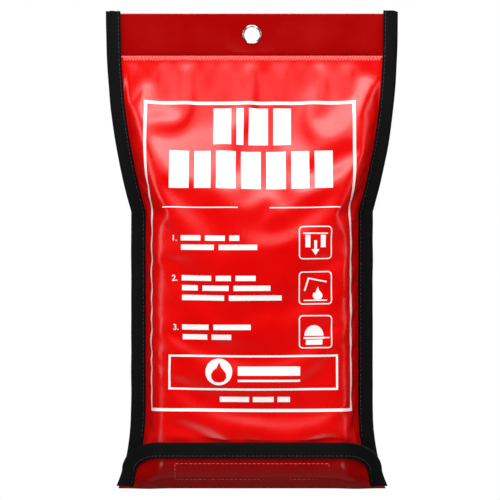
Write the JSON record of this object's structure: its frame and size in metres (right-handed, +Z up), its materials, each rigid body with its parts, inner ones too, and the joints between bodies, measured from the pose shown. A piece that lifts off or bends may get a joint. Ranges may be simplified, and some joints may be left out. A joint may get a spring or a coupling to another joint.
{
  "type": "fire blanket",
  "caption": "Soft hanging pouch with an eyelet at the top and a hook-and-loop flap at the foot, holding a folded glass-fibre fire blanket with pull tabs.",
  "frame": {"origin": "centre of the hanging eyelet, on the wall plane behind the pouch", "axes": "+Z up towards the header, +Y towards the wall, the printed front faces -Y"},
  "size_m": [0.191, 0.0354, 0.3127],
  "materials": {
    "red_sheet": "soft PVC-coated sheet, semi-gloss, fine grain",
    "black_tape": "ribbed woven polyester binding tape",
    "hook_and_loop": "hook-and-loop fastening tape",
    "webbing": "plain woven webbing",
    "red_thread": "polyester sewing thread",
    "black_thread": "polyester sewing thread",
    "nickel": "nickel-plated brass",
    "glass_cloth": "woven glass-fibre cloth"
  },
  "bodies": {
    "pouch": {"back_panel": "red_sheet", "front_panel": "red_sheet", "header_seam_stitching": "red_thread", "left_binding": "black_tape", "right_binding": "black_tape", "left_binding_stitching": "black_thread", "right_binding_stitching": "black_thread", "eyelet": "nickel", "eyelet_washer": "nickel"},
    "mouth": {"mouth_lip": "red_sheet", "loop_strip": "hook_and_loop", "loop_strip_stitching": "red_thread"},
    "flap": {"flap_panel": "red_sheet", "flap_binding": "black_tape", "flap_binding_stitching": "black_thread", "hook_strip": "hook_and_loop", "hook_strip_stitching": "red_thread"},
    "blanket": {"blanket": "glass_cloth"},
    "left_tab": {"left_pull_tab": "webbing", "left_tab_stitching": "black_thread"},
    "right_tab": {"right_pull_tab": "webbing", "right_tab_stitching": "black_thread"}
  },
  "joints": [
    {"name": "blanket_pull", "type": "slide", "parent": "pouch", "child": "blanket", "axis": [0, 0, -1], "range_m": [0, 0.24]},
    {"name": "flap_open", "type": "hinge", "parent": "pouch", "child": "flap", "pos_m": [0, -0.00115, -0.2968], "axis": [1, 0, 0], "range_deg": [0, 134], "deforming": ["flap_panel", "flap_binding", "flap_binding_stitching", "hook_strip", "hook_strip_stitching"]},
    {"name": "mouth_open", "type": "hinge", "parent": "pouch", "child": "mouth", "pos_m": [0, -0.02915, -0.272], "axis": [-1, 0, 0], "range_deg": [0, 44], "deforming": ["mouth_lip", "loop_strip", "loop_strip_stitching"]},
    {"name": "left_tab_drop", "type": "hinge", "parent": "blanket", "child": "left_tab", "pos_m": [-0.033, -0.0054, -0.285], "axis": [1, 0, 0], "range_deg": [0, 118]},
    {"name": "right_tab_drop", "type": "hinge", "parent": "blanket", "child": "right_tab", "pos_m": [0.033, -0.0054, -0.285], "axis": [1, 0, 0], "range_deg": [0, 118]}
  ],
  "couplings": [
    {"joint": "flap_open", "follows": "blanket_pull", "rad_per_m": 9.7443},
    {"joint": "mouth_open", "follows": "blanket_pull", "rad_per_m": 3.1993},
    {"joint": "left_tab_drop", "follows": "blanket_pull", "rad_per_m": 8.5807},
    {"joint": "right_tab_drop", "follows": "blanket_pull", "rad_per_m": 8.5807}
  ]
}
